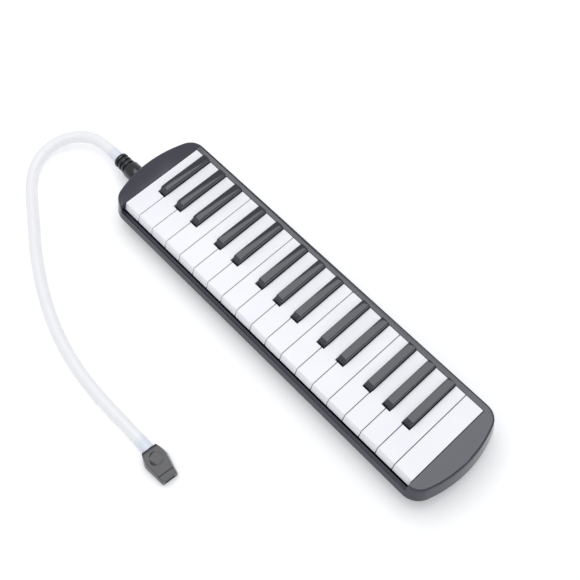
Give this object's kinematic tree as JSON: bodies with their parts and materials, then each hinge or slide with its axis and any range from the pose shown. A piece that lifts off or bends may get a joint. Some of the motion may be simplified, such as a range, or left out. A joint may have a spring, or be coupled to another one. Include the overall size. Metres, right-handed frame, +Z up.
{
  "type": "melodica",
  "caption": "Melodica lying on its feet: glossy black case, piano-style keys over a reed chest, and a milky hose curling round to a black mouthpiece.",
  "frame": {"origin": "on the surface the instrument stands on, under the middle of its case", "axes": "+X along the keyboard towards the high notes, -Y towards the player, +Z up"},
  "size_m": [0.5216, 0.2456, 0.0455],
  "materials": {
    "white_keys": "gloss",
    "black_keys": "gloss",
    "black_case": "gloss",
    "clear_hose": "milky, clear",
    "inner_plastic": "moulded",
    "gasket_rubber": "soft",
    "black_rubber": "matt",
    "plate_aluminium": "rolled",
    "reed_brass": "rolled",
    "screw_steel": "plated",
    "felt": "pressed felt"
  },
  "bodies": {
    "case": {"blow_socket": "black_case", "case_screws": "screw_steel", "chest_cover": "inner_plastic", "chest_gasket": "gasket_rubber", "chest_screws": "screw_steel", "drain_spring": "screw_steel", "front_felt": "felt", "key_axle": "screw_steel", "key_guide_strip": "inner_plastic", "key_springs": "screw_steel", "lower_case": "black_case", "reed_plate_high": "plate_aluminium", "reed_plate_low": "plate_aluminium", "reed_plate_screws": "screw_steel", "reed_rivets": "reed_brass", "reeds_high": "reed_brass", "reeds_low": "reed_brass", "rubber_feet": "black_rubber", "socket_seal": "gasket_rubber", "upper_case": "black_case", "wind_chest": "inner_plastic"},
    "white_key_01": {"white_key_01": "white_keys"},
    "white_key_02": {"white_key_02": "white_keys"},
    "white_key_03": {"white_key_03": "white_keys"},
    "white_key_04": {"white_key_04": "white_keys"},
    "white_key_05": {"white_key_05": "white_keys"},
    "white_key_06": {"white_key_06": "white_keys"},
    "white_key_07": {"white_key_07": "white_keys"},
    "white_key_08": {"white_key_08": "white_keys"},
    "white_key_09": {"white_key_09": "white_keys"},
    "white_key_10": {"white_key_10": "white_keys"},
    "white_key_11": {"white_key_11": "white_keys"},
    "white_key_12": {"white_key_12": "white_keys"},
    "white_key_13": {"white_key_13": "white_keys"},
    "white_key_14": {"white_key_14": "white_keys"},
    "white_key_15": {"white_key_15": "white_keys"},
    "white_key_16": {"white_key_16": "white_keys"},
    "white_key_17": {"white_key_17": "white_keys"},
    "white_key_18": {"white_key_18": "white_keys"},
    "white_key_19": {"white_key_19": "white_keys"},
    "black_key_01": {"black_key_01": "black_keys"},
    "black_key_02": {"black_key_02": "black_keys"},
    "black_key_03": {"black_key_03": "black_keys"},
    "black_key_04": {"black_key_04": "black_keys"},
    "black_key_05": {"black_key_05": "black_keys"},
    "black_key_06": {"black_key_06": "black_keys"},
    "black_key_07": {"black_key_07": "black_keys"},
    "black_key_08": {"black_key_08": "black_keys"},
    "black_key_09": {"black_key_09": "black_keys"},
    "black_key_10": {"black_key_10": "black_keys"},
    "black_key_11": {"black_key_11": "black_keys"},
    "black_key_12": {"black_key_12": "black_keys"},
    "black_key_13": {"black_key_13": "black_keys"},
    "drain_button": {"drain_button": "black_case", "drain_seal": "gasket_rubber"},
    "hose": {"hose_connector": "black_case", "hose": "clear_hose", "mouthpiece": "black_case"}
  },
  "joints": [
    {"name": "white_key_01_press", "type": "hinge", "parent": "case", "child": "white_key_01", "pos_m": [0, 0.015, 0.0285], "axis": [1, 0, 0], "range_deg": [0, 4.6], "stiffness_Nm_per_rad": 0.2, "springref_deg": -11.46, "deforming": ["key_springs"]},
    {"name": "white_key_02_press", "type": "hinge", "parent": "case", "child": "white_key_02", "pos_m": [0, 0.015, 0.0285], "axis": [1, 0, 0], "range_deg": [0, 4.6], "stiffness_Nm_per_rad": 0.2, "springref_deg": -11.46, "deforming": ["key_springs"]},
    {"name": "white_key_03_press", "type": "hinge", "parent": "case", "child": "white_key_03", "pos_m": [0, 0.015, 0.0285], "axis": [1, 0, 0], "range_deg": [0, 4.6], "stiffness_Nm_per_rad": 0.2, "springref_deg": -11.46, "deforming": ["key_springs"]},
    {"name": "white_key_04_press", "type": "hinge", "parent": "case", "child": "white_key_04", "pos_m": [0, 0.015, 0.0285], "axis": [1, 0, 0], "range_deg": [0, 4.6], "stiffness_Nm_per_rad": 0.2, "springref_deg": -11.46, "deforming": ["key_springs"]},
    {"name": "white_key_05_press", "type": "hinge", "parent": "case", "child": "white_key_05", "pos_m": [0, 0.015, 0.0285], "axis": [1, 0, 0], "range_deg": [0, 4.6], "stiffness_Nm_per_rad": 0.2, "springref_deg": -11.46, "deforming": ["key_springs"]},
    {"name": "white_key_06_press", "type": "hinge", "parent": "case", "child": "white_key_06", "pos_m": [0, 0.015, 0.0285], "axis": [1, 0, 0], "range_deg": [0, 4.6], "stiffness_Nm_per_rad": 0.2, "springref_deg": -11.46, "deforming": ["key_springs"]},
    {"name": "white_key_07_press", "type": "hinge", "parent": "case", "child": "white_key_07", "pos_m": [0, 0.015, 0.0285], "axis": [1, 0, 0], "range_deg": [0, 4.6], "stiffness_Nm_per_rad": 0.2, "springref_deg": -11.46, "deforming": ["key_springs"]},
    {"name": "white_key_08_press", "type": "hinge", "parent": "case", "child": "white_key_08", "pos_m": [0, 0.015, 0.0285], "axis": [1, 0, 0], "range_deg": [0, 4.6], "stiffness_Nm_per_rad": 0.2, "springref_deg": -11.46, "deforming": ["key_springs"]},
    {"name": "white_key_09_press", "type": "hinge", "parent": "case", "child": "white_key_09", "pos_m": [0, 0.015, 0.0285], "axis": [1, 0, 0], "range_deg": [0, 4.6], "stiffness_Nm_per_rad": 0.2, "springref_deg": -11.46, "deforming": ["key_springs"]},
    {"name": "white_key_10_press", "type": "hinge", "parent": "case", "child": "white_key_10", "pos_m": [0, 0.015, 0.0285], "axis": [1, 0, 0], "range_deg": [0, 4.6], "stiffness_Nm_per_rad": 0.2, "springref_deg": -11.46, "deforming": ["key_springs"]},
    {"name": "white_key_11_press", "type": "hinge", "parent": "case", "child": "white_key_11", "pos_m": [0, 0.015, 0.0285], "axis": [1, 0, 0], "range_deg": [0, 4.6], "stiffness_Nm_per_rad": 0.2, "springref_deg": -11.46, "deforming": ["key_springs"]},
    {"name": "white_key_12_press", "type": "hinge", "parent": "case", "child": "white_key_12", "pos_m": [0, 0.015, 0.0285], "axis": [1, 0, 0], "range_deg": [0, 4.6], "stiffness_Nm_per_rad": 0.2, "springref_deg": -11.46, "deforming": ["key_springs"]},
    {"name": "white_key_13_press", "type": "hinge", "parent": "case", "child": "white_key_13", "pos_m": [0, 0.015, 0.0285], "axis": [1, 0, 0], "range_deg": [0, 4.6], "stiffness_Nm_per_rad": 0.2, "springref_deg": -11.46, "deforming": ["key_springs"]},
    {"name": "white_key_14_press", "type": "hinge", "parent": "case", "child": "white_key_14", "pos_m": [0, 0.015, 0.0285], "axis": [1, 0, 0], "range_deg": [0, 4.6], "stiffness_Nm_per_rad": 0.2, "springref_deg": -11.46, "deforming": ["key_springs"]},
    {"name": "white_key_15_press", "type": "hinge", "parent": "case", "child": "white_key_15", "pos_m": [0, 0.015, 0.0285], "axis": [1, 0, 0], "range_deg": [0, 4.6], "stiffness_Nm_per_rad": 0.2, "springref_deg": -11.46, "deforming": ["key_springs"]},
    {"name": "white_key_16_press", "type": "hinge", "parent": "case", "child": "white_key_16", "pos_m": [0, 0.015, 0.0285], "axis": [1, 0, 0], "range_deg": [0, 4.6], "stiffness_Nm_per_rad": 0.2, "springref_deg": -11.46, "deforming": ["key_springs"]},
    {"name": "white_key_17_press", "type": "hinge", "parent": "case", "child": "white_key_17", "pos_m": [0, 0.015, 0.0285], "axis": [1, 0, 0], "range_deg": [0, 4.6], "stiffness_Nm_per_rad": 0.2, "springref_deg": -11.46, "deforming": ["key_springs"]},
    {"name": "white_key_18_press", "type": "hinge", "parent": "case", "child": "white_key_18", "pos_m": [0, 0.015, 0.0285], "axis": [1, 0, 0], "range_deg": [0, 4.6], "stiffness_Nm_per_rad": 0.2, "springref_deg": -11.46, "deforming": ["key_springs"]},
    {"name": "white_key_19_press", "type": "hinge", "parent": "case", "child": "white_key_19", "pos_m": [0, 0.015, 0.0285], "axis": [1, 0, 0], "range_deg": [0, 4.6], "stiffness_Nm_per_rad": 0.2, "springref_deg": -11.46, "deforming": ["key_springs"]},
    {"name": "black_key_01_press", "type": "hinge", "parent": "case", "child": "black_key_01", "pos_m": [0, 0.015, 0.0285], "axis": [1, 0, 0], "range_deg": [0, 5.5], "stiffness_Nm_per_rad": 0.2, "springref_deg": -11.46, "deforming": ["key_springs"]},
    {"name": "black_key_02_press", "type": "hinge", "parent": "case", "child": "black_key_02", "pos_m": [0, 0.015, 0.0285], "axis": [1, 0, 0], "range_deg": [0, 5.5], "stiffness_Nm_per_rad": 0.2, "springref_deg": -11.46, "deforming": ["key_springs"]},
    {"name": "black_key_03_press", "type": "hinge", "parent": "case", "child": "black_key_03", "pos_m": [0, 0.015, 0.0285], "axis": [1, 0, 0], "range_deg": [0, 5.5], "stiffness_Nm_per_rad": 0.2, "springref_deg": -11.46, "deforming": ["key_springs"]},
    {"name": "black_key_04_press", "type": "hinge", "parent": "case", "child": "black_key_04", "pos_m": [0, 0.015, 0.0285], "axis": [1, 0, 0], "range_deg": [0, 5.5], "stiffness_Nm_per_rad": 0.2, "springref_deg": -11.46, "deforming": ["key_springs"]},
    {"name": "black_key_05_press", "type": "hinge", "parent": "case", "child": "black_key_05", "pos_m": [0, 0.015, 0.0285], "axis": [1, 0, 0], "range_deg": [0, 5.5], "stiffness_Nm_per_rad": 0.2, "springref_deg": -11.46, "deforming": ["key_springs"]},
    {"name": "black_key_06_press", "type": "hinge", "parent": "case", "child": "black_key_06", "pos_m": [0, 0.015, 0.0285], "axis": [1, 0, 0], "range_deg": [0, 5.5], "stiffness_Nm_per_rad": 0.2, "springref_deg": -11.46, "deforming": ["key_springs"]},
    {"name": "black_key_07_press", "type": "hinge", "parent": "case", "child": "black_key_07", "pos_m": [0, 0.015, 0.0285], "axis": [1, 0, 0], "range_deg": [0, 5.5], "stiffness_Nm_per_rad": 0.2, "springref_deg": -11.46, "deforming": ["key_springs"]},
    {"name": "black_key_08_press", "type": "hinge", "parent": "case", "child": "black_key_08", "pos_m": [0, 0.015, 0.0285], "axis": [1, 0, 0], "range_deg": [0, 5.5], "stiffness_Nm_per_rad": 0.2, "springref_deg": -11.46, "deforming": ["key_springs"]},
    {"name": "black_key_09_press", "type": "hinge", "parent": "case", "child": "black_key_09", "pos_m": [0, 0.015, 0.0285], "axis": [1, 0, 0], "range_deg": [0, 5.5], "stiffness_Nm_per_rad": 0.2, "springref_deg": -11.46, "deforming": ["key_springs"]},
    {"name": "black_key_10_press", "type": "hinge", "parent": "case", "child": "black_key_10", "pos_m": [0, 0.015, 0.0285], "axis": [1, 0, 0], "range_deg": [0, 5.5], "stiffness_Nm_per_rad": 0.2, "springref_deg": -11.46, "deforming": ["key_springs"]},
    {"name": "black_key_11_press", "type": "hinge", "parent": "case", "child": "black_key_11", "pos_m": [0, 0.015, 0.0285], "axis": [1, 0, 0], "range_deg": [0, 5.5], "stiffness_Nm_per_rad": 0.2, "springref_deg": -11.46, "deforming": ["key_springs"]},
    {"name": "black_key_12_press", "type": "hinge", "parent": "case", "child": "black_key_12", "pos_m": [0, 0.015, 0.0285], "axis": [1, 0, 0], "range_deg": [0, 5.5], "stiffness_Nm_per_rad": 0.2, "springref_deg": -11.46, "deforming": ["key_springs"]},
    {"name": "black_key_13_press", "type": "hinge", "parent": "case", "child": "black_key_13", "pos_m": [0, 0.015, 0.0285], "axis": [1, 0, 0], "range_deg": [0, 5.5], "stiffness_Nm_per_rad": 0.2, "springref_deg": -11.46, "deforming": ["key_springs"]},
    {"name": "drain_press", "type": "slide", "parent": "case", "child": "drain_button", "axis": [0, -1, 0], "range_m": [0, 0.002], "stiffness_N_per_m": 300, "springref_m": -0.003, "deforming": ["drain_spring"]},
    {"name": "hose_pull", "type": "slide", "parent": "case", "child": "hose", "axis": [-1, 0, 0], "range_m": [0, 0.01]}
  ]
}
